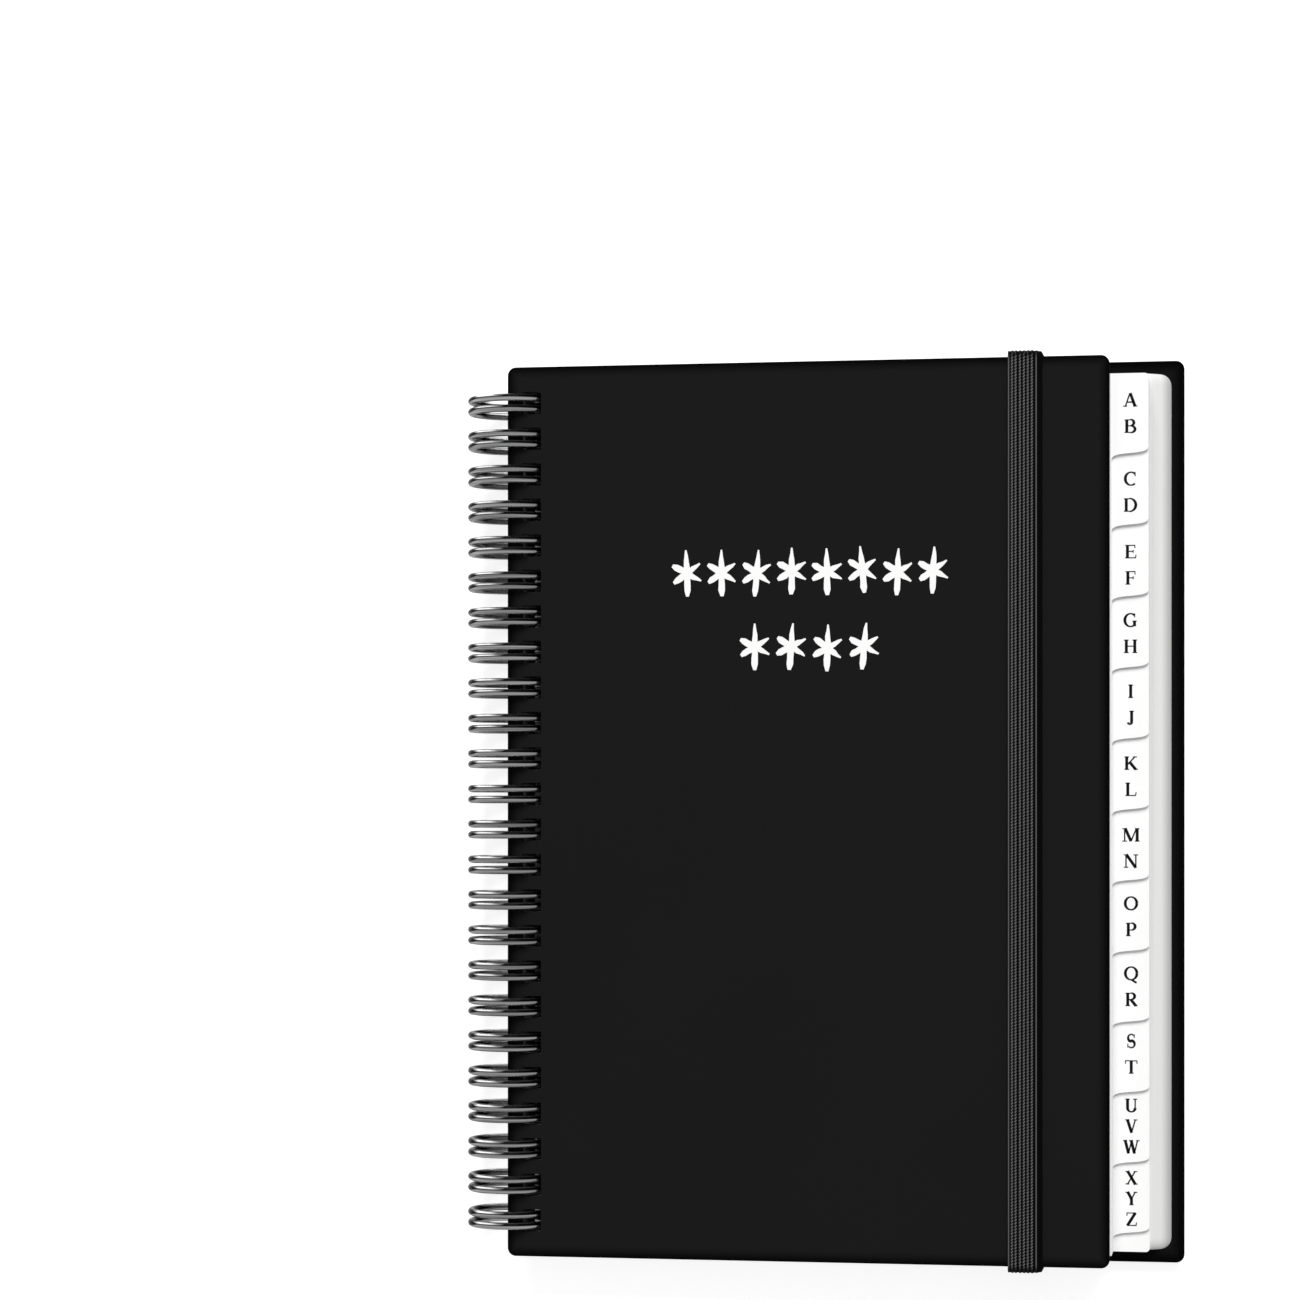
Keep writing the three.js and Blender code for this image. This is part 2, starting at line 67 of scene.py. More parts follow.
corner_low, corner_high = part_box("front_cover")
view_right = Vector((math.cos(VIEW_TURN), 0, -math.sin(VIEW_TURN)))
view_back = Vector((math.sin(VIEW_TURN), 0, math.cos(VIEW_TURN)))
camera_data = bpy.data.cameras.new("camera")
camera_data.sensor_width = 36
camera_data.lens = 36 * FOCAL_PIXELS / PHOTO_SIDE
camera_data.shift_y = VIEW_DROP / PHOTO_SIDE
camera = bpy.data.objects.new("camera", camera_data)
camera.matrix_world = Matrix((view_right, (0, 1, 0), view_back)).transposed().to_4x4()
spine_corner = Vector((corner_low.x, 0, corner_high.z))
camera.location = spine_corner + VIEW_ASIDE * view_right + VIEW_DISTANCE * view_back
bpy.context.scene.collection.objects.link(camera)
bpy.context.scene.camera = camera
bpy.context.scene.view_settings.view_transform = "Standard"


# Table top: a plain white table that the book lies on, matt and large enough to fill
# the view. It keeps the book's soft shadow, and its glow is turned off where the book
# covers it, a painted shade under the book.
TABLE_HALF = 4
TABLE_GLOW = 0.75
SHADE_AT_SPINE = 0.003
SHADE_ALL_ROUND = 0.012


class Field:
    """A socket in a finish's node tree. Arithmetic on it adds Math nodes."""

    def __init__(self, tree, socket=None):
        self.tree = tree
        self.socket = socket

    def node(self, kind, settings=None, inputs=None, output=0):
        """Adds a node, sets its settings and then its sockets, and returns one output."""
        made = self.tree.nodes.new(kind)
        for name, value in (settings or {}).items():
            setattr(made, name, value)
        for name, value in (inputs or {}).items():
            if isinstance(value, Field):
                self.tree.links.new(value.socket, made.inputs[name])
            else:
                made.inputs[name].default_value = value
        return Field(self.tree, made.outputs[output])

    def other(self, output):
        return Field(self.tree, self.socket.node.outputs[output])

    def calc(self, operation, *values):
        return self.node("ShaderNodeMath", {"operation": operation}, dict(enumerate(values)))

    def blend(self, factor, low, high):
        """A colour between two others."""
        return self.node("ShaderNodeMix", {"data_type": "RGBA"}, {0: factor, 6: low, 7: high}, 2)

    def step(self, low, high):
        """0 below low, 1 above high, and a smooth rise between."""
        inputs = {"Value": self, "From Min": low, "From Max": high}
        return self.node("ShaderNodeMapRange", {"interpolation_type": "SMOOTHSTEP"}, inputs)

    def __add__(self, other):
        return self.calc("ADD", self, other)

    def __sub__(self, other):
        return self.calc("SUBTRACT", self, other)

    def __rsub__(self, other):
        return self.calc("SUBTRACT", other, self)

    def __mul__(self, other):
        return self.calc("MULTIPLY", self, other)

    __radd__ = __add__
    __rmul__ = __mul__


def start_finish(name):
    """A new finish, and a field to build its nodes from."""
    material = bpy.data.materials.new(name)
    material.use_nodes = True
    return material, Field(material.node_tree)


def set_finish(material, values):
    """Sets or links the sockets of the finish's shader."""
    shader = material.node_tree.nodes["Principled BSDF"]
    for name, value in values.items():
        if isinstance(value, Field):
            material.node_tree.links.new(value.socket, shader.inputs[name])
        else:
            shader.inputs[name].default_value = value


def in_view(field):
    """1 for the rays that show a surface, in the view itself or in a reflection."""
    ray = field.node("ShaderNodeLightPath", output="Is Camera Ray")
    shown = ray.calc("MAXIMUM", ray, ray.other("Is Glossy Ray"))
    return ray.calc("MAXIMUM", shown, ray.other("Is Transmission Ray"))


white_table, field = start_finish("white_table")
place = field.node("ShaderNodeTexCoord", output="Object")
grain = field.node("ShaderNodeTexNoise", inputs={"Vector": place, "Scale": 900.0, "Detail": 3.0})
covered_low, covered_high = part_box("back_cover")
x = field.node("ShaderNodeSeparateXYZ", inputs={0: place}, output="X")
y_far = x.calc("ABSOLUTE", x.other("Y"))
# Painted shade: the table's glow fades out under the back cover, so the table shows dark there.
under_book_shade = x.step(covered_low.x, covered_low.x + SHADE_AT_SPINE)
under_book_shade = under_book_shade * (1 - x.step(covered_high.x - SHADE_ALL_ROUND, covered_high.x))
under_book_shade = under_book_shade * (1 - y_far.step(covered_high.y - SHADE_ALL_ROUND, covered_high.y))
set_finish(white_table, {
    "Base Color": field.blend(grain, (0.59, 0.59, 0.59, 1), (0.61, 0.61, 0.61, 1)),
    "Roughness": 0.9,
    "Specular IOR Level": 0.1,
    "Emission Color": field.blend(in_view(field) * (1 - under_book_shade), (0, 0, 0, 1), (1, 1, 1, 1)),
    "Emission Strength": TABLE_GLOW,
})
bm = bmesh.new()
bmesh.ops.create_grid(bm, x_segments=1, y_segments=1, size=TABLE_HALF)
table_mesh = bpy.data.meshes.new("table")
bm.to_mesh(table_mesh)
bm.free()
table_mesh.materials.append(white_table)
table = bpy.data.objects.new("table", table_mesh)
bpy.context.scene.collection.objects.link(table)


# Light: an even white studio all round, and one large soft lamp above the head of the
# book. Its soft shadows fall towards the tail.
STUDIO_STRENGTH = 0.43
LAMP_PLACE = Vector((0.4, 3.0, 3.0))
LAMP_SIDE = 2.2
LAMP_POWER = 173

world = bpy.data.worlds.new("studio")
world.use_nodes = True
bpy.context.scene.world = world
world.node_tree.nodes.clear()
field = Field(world.node_tree)
dim = field.node("ShaderNodeBackground", inputs={"Color": (1, 1, 1, 1), "Strength": STUDIO_STRENGTH})
white = field.node("ShaderNodeBackground", inputs={"Color": (1, 1, 1, 1), "Strength": 1.0})
sky = field.node("ShaderNodeMixShader", inputs={0: in_view(field), 1: dim, 2: white})
world_output = world.node_tree.nodes.new("ShaderNodeOutputWorld")
world.node_tree.links.new(sky.socket, world_output.inputs["Surface"])

lamp_data = bpy.data.lights.new("lamp", "AREA")
lamp_data.size = LAMP_SIDE
lamp_data.energy = LAMP_POWER
lamp = bpy.data.objects.new("lamp", lamp_data)
lamp.matrix_world = Matrix.Translation(LAMP_PLACE) @ LAMP_PLACE.to_track_quat("Z", "Y").to_matrix().to_4x4()
bpy.context.scene.collection.objects.link(lamp)


# Covers: two stiff boards wrapped in matt black film, with rounded corners, softly
# crushed edges and a row of square holes that the wire passes through.
BOARD_CORNER = 2
BOARD_EDGE = 0.3
HOLE_SIDES = (4.126, 8.629)  # from the ring's centre line
HOLE_HEIGHT = 5.3
LOOP_COUNT = 24
LOOP_PITCH = 8.467
FRONT_SHADE = 3.1
BACK_SHADE = 5.5

ring_joint = next(joint for joint in frame["joints"] if joint["name"] == "front_cover_hinge")
ring_x, _, ring_z = (1000 * value for value in ring_joint["pos_m"])
loop_places = [(index - (LOOP_COUNT - 1) / 2) * LOOP_PITCH for index in range(LOOP_COUNT)]


def box_mm(node):
    """A CAD node's lowest and highest corners in millimetres."""
    low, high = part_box(node)
    return low * 1000, high * 1000


def add_piece(name, mesh, material, body, slot, *nodes):
    """Puts a mesh drawn in millimetres into the book, on its body, in place of its nodes."""
    mesh.transform(Matrix.Scale(0.001, 4))
    mesh.materials.clear()
    mesh.materials.append(material)
    piece = bpy.data.objects.new(name, mesh)
    bpy.context.scene.collection.objects.link(piece)
    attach(piece, body)
    if nodes:
        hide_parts(*nodes)
    return piece


def mesh_from(bm, name, sharp=30):
    """Turns a bmesh into a mesh that is smooth over its blunt edges."""
    bmesh.ops.recalc_face_normals(bm, faces=bm.faces)
    mesh = bpy.data.meshes.new(name)
    bm.to_mesh(mesh)
    bm.free()
    mesh.shade_smooth()
    mesh.set_sharp_from_angle(angle=math.radians(sharp))
    return mesh


def cut_board(node):
    """A board as large as its node, its corners rounded, its edges soft and its holes punched."""
    low, high = box_mm(node)
    bm = bmesh.new()
    bmesh.ops.create_cube(bm, size=1)
    bmesh.ops.scale(bm, vec=high - low, verts=bm.verts)
    bmesh.ops.translate(bm, vec=(low + high) / 2, verts=bm.verts)
    upright = [edge for edge in bm.edges if abs(edge.verts[0].co.z - edge.verts[1].co.z) > 0.5]
    bmesh.ops.bevel(bm, geom=upright, offset=BOARD_CORNER, segments=8, profile=0.5,
                    affect="EDGES", material=-1)
    rim = [edge for edge in bm.edges if edge.calc_face_angle(0) > 1]
    bmesh.ops.bevel(bm, geom=rim, offset=BOARD_EDGE, segments=3, profile=0.5,
                    affect="EDGES", material=-1)
    board_mesh = mesh_from(bm, node)

    bm = bmesh.new()
    width = HOLE_SIDES[1] - HOLE_SIDES[0]
    size = Matrix.Diagonal((width, HOLE_HEIGHT, 3 * (high.z - low.z), 1))
    for place in loop_places:
        middle = Matrix.Translation((ring_x + sum(HOLE_SIDES) / 2, place, (low.z + high.z) / 2))
        bmesh.ops.create_cube(bm, size=1, matrix=middle @ size)
    punch_mesh = mesh_from(bm, "punch")

    board = bpy.data.objects.new("board", board_mesh)
    punch = bpy.data.objects.new("punch", punch_mesh)
    for item in (board, punch):
        bpy.context.scene.collection.objects.link(item)
    cut = board.modifiers.new("holes", "BOOLEAN")
    cut.object = punch
    cut.operation = "DIFFERENCE"
    cut.solver = "EXACT"
    board.modifiers.new("flat faces", "WEIGHTED_NORMAL").keep_sharp = True
    cut_mesh = bpy.data.meshes.new_from_object(board.evaluated_get(bpy.context.evaluated_depsgraph_get()))
    for item in (board, punch):
        bpy.data.objects.remove(item)
    return cut_mesh


def place_mm(field):
    """Where a point of the piece lies in the book's frame, in millimetres."""
    place = field.node("ShaderNodeTexCoord", output="Object")
    return field.node("ShaderNodeVectorMath", {"operation": "SCALE"}, {0: place, "Scale": 1000.0})


def black_board(name, node, shade):
    """Matt black film over board: a fine grain, and painted shade that darkens it towards the edges, as far
    in as shade.
    """
    low, high = box_mm(node)
    material, field = start_finish(name)
    place = place_mm(field)
    x = field.node("ShaderNodeSeparateXYZ", inputs={0: place}, output="X")
    y = x.other("Y")
    across = x.calc("MINIMUM", x - low.x, high.x - x)
    along = x.calc("MINIMUM", y - low.y, high.y - y)
    # Painted shade: the film darkens towards the board's edges.
    clear_of_edge_shade = x.calc("MINIMUM", across, along).step(-0.4, shade)
    cloud = field.node("ShaderNodeTexNoise", inputs={"Vector": place, "Scale": 0.02, "Detail": 3.0})
    grain = field.node("ShaderNodeTexNoise", inputs={"Vector": place, "Scale": 3.2, "Detail": 2.0})
    tone = clear_of_edge_shade * (0.82 + cloud * 0.12 + grain * 0.06)
    set_finish(material, {
        "Base Color": field.blend(tone, (0.0003, 0.0003, 0.0003, 1), (0.0107, 0.0107, 0.0108, 1)),
        "Roughness": 0.62 - cloud * 0.08,
        "Specular IOR Level": 0.01,
        "Normal": field.node("ShaderNodeBump", inputs={
            "Strength": 0.35, "Distance": 0.00006, "Height": grain}),
    })
    return material


add_piece("front_board", cut_board("front_cover"), black_board("front_black", "front_cover", FRONT_SHADE),
          "front_cover", "cover_board", "front_cover")
add_piece("back_board", cut_board("back_cover"), black_board("back_black", "back_cover", BACK_SHADE),
          "back_cover_and_wire", "cover_board", "back_cover")


# Marks on the front: two rows of plain asterisks in thick white screen ink, painted with
# a dry brush, as a generic sign for entries that are kept hidden.
MARK_MIDDLE = 72.5
MARK_ROWS = ((8, 56.5, 66.7), (4, 38.7, 34.5))  # how many, height on the cover, width of the row
MARK_HEIGHT = 11
MARK_REACH = 3.9
STROKE_STATIONS = 9
INK_THICKNESS = 0.03

board_low, board_high = box_mm("front_cover")
brush = random.Random(7)


def lay_ribbon(bm, stations):
    """A flat ribbon through stations, each a middle, a heading and a half width."""
    middle, heading, half = stations[0]
    side = Vector((-heading.y, heading.x, 0)) * half
    corners = [bm.verts.new(middle + side), bm.verts.new(middle - side)]
    edge = bm.edges.new(corners)
    for middle, heading, half in stations[1:]:
        side = Vector((-heading.y, heading.x, 0)) * half
        made = bmesh.ops.extrude_edge_only(bm, edges=[edge])["geom"]
        edge = next(item for item in made if isinstance(item, bmesh.types.BMEdge))
        fresh = [item for item in made if isinstance(item, bmesh.types.BMVert)]
        first = next(vert for vert in fresh if any(
            other.other_vert(vert) == corners[0] for other in vert.link_edges))
        second = next(vert for vert in fresh if vert != first)
        first.co = middle + side
        second.co = middle - side
        corners = [first, second]


def thicken(bm, faces, rise):
    """Turns flat faces into a solid by raising a copy of them, and returns the copy's corners."""
    raised = bmesh.ops.extrude_face_region(bm, geom=faces)["geom"]
    upper = [item for item in raised if isinstance(item, bmesh.types.BMVert)]
    bmesh.ops.translate(bm, vec=(0, 0, rise), verts=upper)
    return upper


def brush_stroke(bm, middle, angle, half_length):
    """One dry stroke: blunt where it starts, narrower where it ends, ragged at both sides."""
    heading = Vector((math.cos(angle), math.sin(angle), 0))
    stations = []
    for index in range(STROKE_STATIONS):
        share = index / (STROKE_STATIONS - 1)
        blunt = min(1, 0.45 + 4 * share, 0.3 + 2.6 * (1 - share))
        half = (0.82 - 0.22 * share) * blunt * brush.uniform(0.9, 1.08)
        sway = Vector((-heading.y, heading.x, 0)) * brush.uniform(-0.08, 0.08)
        stations.append((middle + heading * half_length * (2 * share - 1) + sway, heading, half))
    lay_ribbon(bm, stations)


bm = bmesh.new()
for count, height, row_width in MARK_ROWS:
    for index in range(count):
        offset = (index - (count - 1) / 2) * row_width / count
        middle = Vector((board_low.x + MARK_MIDDLE + offset, height + brush.uniform(-0.35, 0.35), 0))
        for turn, reach in ((90, MARK_HEIGHT / 2), (32, MARK_REACH), (-32, MARK_REACH)):
            level = Vector((0, 0, board_high.z + brush.uniform(0.002, 0.012)))
            brush_stroke(bm, middle + level, math.radians(turn + brush.uniform(-6, 6)), reach)
thicken(bm, bm.faces[:], INK_THICKNESS)

white_ink, field = start_finish("white_ink")
place = field.node("ShaderNodeTexCoord", output="Object")
dry = field.node("ShaderNodeTexNoise", inputs={"Vector": place, "Scale": 1600.0, "Detail": 4.0})
set_finish(white_ink, {
    "Base Color": field.blend(dry, (0.86, 0.86, 0.85, 1), (0.95, 0.95, 0.95, 1)),
    "Roughness": 0.5 + dry * 0.2,
    "Specular IOR Level": 0.2,
    "Normal": field.node("ShaderNodeBump", inputs={"Strength": 0.3, "Distance": 0.00003, "Height": dry}),
})
add_piece("title_marks", mesh_from(bm, "title_marks"), white_ink, "front_cover", "cover_board")


# Twin-loop wire: one gunmetal wire bent into pairs of round loops. Plain links run along
# the spine below the back cover between one pair and the next.
WIRE_RADIUS = 0.9
RING_RADIUS = 9.6825
LOOP_HALF = 1.3
ROOT_ANGLE = -72
TIP_ANGLE = 271
ROOT_BEND = 1.2
LEG_POINTS = 44
BEND_POINTS = 7


def wire_route():
    """The wire's middle line, drawn flat as way round the ring against place along the spine."""
    start = math.radians(ROOT_ANGLE) * RING_RADIUS + ROOT_BEND
    end = math.radians(TIP_ANGLE) * RING_RADIUS - LOOP_HALF
    route = []

    def bend(way, place, radius, first, last):
        for index in range(BEND_POINTS):
            angle = math.radians(first + (last - first) * index / (BEND_POINTS - 1))
            route.append((way + radius * math.cos(angle), place + radius * math.sin(angle)))

    def leg(place, first, last):
        for index in range(1, LEG_POINTS):
            route.append((first + (last - first) * index / LEG_POINTS, place))

    for place in loop_places:
        low, high = place - LOOP_HALF, place + LOOP_HALF
        bend(start, low - ROOT_BEND, ROOT_BEND, 180, 90)
        leg(low, start, end)
        bend(end, place, LOOP_HALF, -90, 90)
        leg(high, end, start)
        bend(start, high + ROOT_BEND, ROOT_BEND, -90, -180)
    return route


wire_curve = bpy.data.curves.new("wire", "CURVE")
wire_curve.dimensions = "3D"
wire_curve.bevel_depth = WIRE_RADIUS
wire_curve.bevel_resolution = 4
wire_curve.use_fill_caps = True
spline = wire_curve.splines.new("POLY")
route = wire_route()
spline.points.add(len(route) - 1)
for point, (way, place) in zip(spline.points, route):
    angle = way / RING_RADIUS
    point.co = (ring_x + RING_RADIUS * math.cos(angle), place, ring_z + RING_RADIUS * math.sin(angle), 1)
wire_line = bpy.data.objects.new("wire_line", wire_curve)
wire_mesh = bpy.data.meshes.new_from_object(wire_line)
bpy.data.objects.remove(wire_line)

gunmetal, field = start_finish("gunmetal")
place = place_mm(field)
x = field.node("ShaderNodeSeparateXYZ", inputs={0: place}, output="X")
y = x.other("Y")
in_pair = x.calc("FLOORED_MODULO", y, LOOP_PITCH) - LOOP_PITCH / 2
upper_leg = x.calc("GREATER_THAN", in_pair, 0.0)
side = (in_pair + LOOP_HALF - upper_leg * (2 * LOOP_HALF)) * (1 / WIRE_RADIUS)
turn = field.node("ShaderNodeUVMap", {"uv_map": "UVMap"})
along = field.node("ShaderNodeSeparateXYZ", inputs={0: turn}, output="X")
stretched = field.node("ShaderNodeCombineXYZ", inputs={0: along * 60.0, 1: along.other("Y") * 14.0})
drawn = field.node("ShaderNodeTexNoise", inputs={"Vector": stretched, "Scale": 1.0, "Detail": 2.0})
worn = field.node("ShaderNodeTexNoise", inputs={"Vector": place, "Scale": 0.42, "Detail": 3.0})
# Painted reflection: a dark wedge at the ring's outer end runs on as a thin dark streak
# round each wire, with a painted highlight beside the streak, over the drawn plating.
inward = x - (ring_x - RING_RADIUS - WIRE_RADIUS)
low_side = x.calc("MINIMUM", inward * 0.2 - 0.7, 0.08)
high_side = 0.9 - 0.5 * inward.step(1.8, 3.4) + 0.36 * inward.step(9.0, 11.5)
depth = 1 - 0.35 * inward.step(3.4, 5.0) * (1 - inward.step(8.5, 11.0))
dark_reflection_band = side.step(low_side - 0.1, low_side + 0.08) * (1 - side.step(high_side - 0.1, high_side + 0.06))
black = depth * dark_reflection_band
highlight_reach = inward.step(2.8, 4.4) * (1 - inward.step(7.0, 9.5))
painted_highlight = highlight_reach * side.step(high_side - 0.06, high_side + 0.06) * (1 - side.step(0.82, 1.0))
plate_and_highlight = field.blend(drawn.step(0.3, 0.7), (0.14, 0.14, 0.141, 1), (0.33, 0.33, 0.332, 1))
# Painted highlight: a pale band beside the painted dark reflection.
plate_and_highlight = field.blend(painted_highlight, plate_and_highlight, (0.95, 0.95, 0.95, 1))
set_finish(gunmetal, {
    "Base Color": field.blend(black, plate_and_highlight, (0.002, 0.002, 0.002, 1)),
    "Metallic": 1.0,
    "Specular Tint": (0.6, 0.6, 0.6, 1),
    "Roughness": 0.2 + worn * 0.16,
    "Normal": field.node("ShaderNodeBump", inputs={"Strength": 0.15, "Distance": 0.00002, "Height": drawn}),
})
add_piece("loop_wire", wire_mesh, gunmetal, "back_cover_and_wire", "wire", "twin_loop_wire")


# Index dividers: white card cut to a stepped tab each, with a steep-ended curve at the
# tab's foot and a row of punched holes. The holes' walls are greyed with painted shade.
LEAF_HOLE_SIDES = (4.159, 10.7325)  # from the ring's centre line
TAB_RISE = 2.8
TAB_PULL = 0.76 * TAB_RISE
TAB_CORNER = 0.9
CORNER_STEPS = 6
CURVE_POINTS = 14
SECTIONS = ("ab", "cd", "ef", "gh", "ij", "kl", "mn", "op", "qr", "st", "uvw", "xyz")
FIRST_TAB_EXTRA = 2
BLANK_STRIP = 4.6

leaf_low, leaf_high = box_mm("pages_ab")
tab_edge = box_mm("tab_divider_ab")[1].x
notes_edge = box_mm("notes_pages")[1].x
page_edge = leaf_high.x
head, tail = leaf_high.y, leaf_low.y
tab_pitch = (head - tail - FIRST_TAB_EXTRA - BLANK_STRIP) / len(SECTIONS)
tab_feet = [head - FIRST_TAB_EXTRA - (index + 1) * tab_pitch for index in range(len(SECTIONS))]


def corner(x, y, radius, first):
    """A quarter turn of points about x, y, from the first angle in degrees."""
    angles = [math.radians(first + 90 * step / CORNER_STEPS) for step in range(CORNER_STEPS + 1)]
    return [(x + radius * math.cos(angle), y + radius * math.sin(angle)) for angle in angles]


def lay_sheet(bm, outline, low, thickness, slant=0):
    """One sheet with its outline and its holes. A slant draws its upper fore-edge in."""
    left, right = (ring_x + side for side in LEAF_HOLE_SIDES)
    half = HOLE_HEIGHT / 2
    holes = [((left, y - half), (left, y + half), (right, y + half), (right, y - half)) for y in loop_places]
    edges = []
    for ring in (outline, *holes):
        verts = [bm.verts.new((x, y, low)) for x, y in ring]
        edges += [bm.edges.new((verts[index - 1], vert)) for index, vert in enumerate(verts)]
    filled = bmesh.ops.triangle_fill(bm, use_beauty=True, use_dissolve=False, edges=edges)
    faces = [item for item in filled["geom"] if isinstance(item, bmesh.types.BMFace)]
    top_side = bm.verts.layers.float.get("top_side") or bm.verts.layers.float.new("top_side")
    for vert in thicken(bm, faces, thickness):
        vert[top_side] = 1
        if vert.co.x > page_edge:
            vert.co.x -= slant


def divider_outline(foot):
    """A divider, wide down to the foot of its own tab and narrow below it."""
    low = (page_edge, foot - TAB_RISE / 2, 0)
    high = (tab_edge, foot + TAB_RISE / 2, 0)
    pull = Vector((0, TAB_PULL, 0))
    curve = interpolate_bezier(low, Vector(low) + pull, Vector(high) - pull, high, CURVE_POINTS)
    outline = [(leaf_low.x, tail), (page_edge, tail)]
    outline += [(point.x, point.y) for point in curve]
    outline += corner(tab_edge - TAB_CORNER, head - TAB_CORNER, TAB_CORNER, 0)
    return outline + [(leaf_low.x, head)]


def white_with_hole_shade(name, tone, fibre, extra=None):
    """White card or paper with fine fibres, and painted shade that greys the walls of its holes."""
    material, field = start_finish(name)
    place = place_mm(field)
    x = field.node("ShaderNodeSeparateXYZ", inputs={0: place}, output="X")
    y = x.other("Y")
    middle = ring_x + sum(LEAF_HOLE_SIDES) / 2
    half = (LEAF_HOLE_SIDES[1] - LEAF_HOLE_SIDES[0]) / 2
    beside = x.calc("ABSOLUTE", x - middle) - half
    between = x.calc("ABSOLUTE", x.calc("PINGPONG", y, LOOP_PITCH / 2) - LOOP_PITCH / 2)
    past_last = x.calc("ABSOLUTE", y) - loop_places[-1]
    beyond = x.calc("MAXIMUM", between, past_last) - HOLE_HEIGHT / 2
    # Painted shade: the walls of the holes are greyed, as if in their own shadow.
    clear_of_hole_shade = x.calc("MAXIMUM", beside, beyond).step(0.04, 0.22)
    fibres = field.node("ShaderNodeTexNoise", inputs={"Vector": place, "Scale": fibre, "Detail": 3.0})
    cloud = field.node("ShaderNodeTexNoise", inputs={"Vector": place, "Scale": 0.03, "Detail": 2.0})
    dull = tuple(0.965 * value for value in tone)
    white = field.blend(fibres * 0.6 + cloud * 0.4, dull + (1,), tone + (1,))
    if extra:
        white = extra(field, place, white)
    set_finish(material, {
        "Base Color": field.blend(clear_of_hole_shade, (0.2, 0.2, 0.203, 1), white),
        "Roughness": 0.78 + fibres * 0.12,
        "Specular IOR Level": 0.2,
        "Normal": field.node("ShaderNodeBump", inputs={
            "Strength": 0.2, "Distance": 0.00002, "Height": fibres}),
    })
    return material


white_card = white_with_hole_shade("white_card", (0.95, 0.95, 0.947), 5.0)
for letters, foot in zip(SECTIONS, tab_feet):
    node = f"tab_divider_{letters}"
    low, high = box_mm(node)
    bm = bmesh.new()
    lay_sheet(bm, divider_outline(foot), low.z, high.z - low.z)
    add_piece(f"card_{letters}", mesh_from(bm, node), white_card, f"section_{letters}", "tab_card", node)

low, high = box_mm("blank_divider")
bm = bmesh.new()
blank_outline = [(leaf_low.x, tail)]
blank_outline += corner(tab_edge - TAB_CORNER, tail + TAB_CORNER, TAB_CORNER, -90)
blank_outline += corner(tab_edge - TAB_CORNER, head - TAB_CORNER, TAB_CORNER, 0)
blank_outline += [(leaf_low.x, head)]
lay_sheet(bm, blank_outline, low.z, high.z - low.z)
add_piece("card_blank", mesh_from(bm, "blank_divider"), white_card,
          "notes_section", "tab_card", "blank_divider")


# Index letters: the alphabet in black book type, printed on both faces of each tab. Thick
# and thin strokes end in flat serifs. The print sits a little differently on each tab.
LETTER_HEIGHT = 3.15
LETTER_PITCH = 6.1
CLOSE_PITCH = 4.85
LETTER_MIDDLE = 4.2
BOW_STEPS = 16
LETTER_DROP = (-1.0, 0.7, 1.05, 0.4, 0.4, 0.6, 0.8, 0.25, 0.1, -0.6, -0.2, 0.3)
PRINT_LIFT = 0.006
PRINT_THICKNESS = 0.01
THICK = 0.22
THIN = 0.105
SERIF = 0.08
TOP = 1 - SERIF / 2
FOOT = SERIF / 2


def bow(x, y, wide, tall, first, last):
    """A curved stroke, thick at its sides and thin at its head and foot."""
    points = []
    for step in range(BOW_STEPS + 1):
        angle = math.radians(first + (last - first) * step / BOW_STEPS)
        half = THIN + (THICK - THIN) * abs(math.cos(angle)) ** 1.6
        points.append((x + wide * math.cos(angle), y + tall * math.sin(angle), half / 2))
    return points


def curl(y, wide, first, last, heavy):
    """Half of an S, thickest at its heavy angle."""
    points = []
    for step in range(BOW_STEPS + 1):
        angle = math.radians(first + (last - first) * step / BOW_STEPS)
        weight = math.cos((angle - math.radians(heavy)) / 2) ** 2
        half = THIN + (THICK - THIN) * weight
        points.append((wide * math.cos(angle), y + 0.26 * math.sin(angle), half / 2))
    return points


def bar(x0, y0, x1, y1, width):
    """A straight stroke."""
    return [(x0, y0, width / 2), (x1, y1, width / 2)]


def flat(x, y, reach=0.16):
    """A serif."""
    return bar(x - reach, y, x + reach, y, SERIF)


def stem(x, serifs="foot top", width=THICK, low=0, reach=0.17):
    """An upright stroke with serifs at its foot, its top or both."""
    strokes = [bar(x, low, x, 1, width)]
    if "foot" in serifs:
        strokes.append(flat(x, FOOT, reach))
    if "top" in serifs:
        strokes.append(flat(x, TOP, reach))
    return strokes


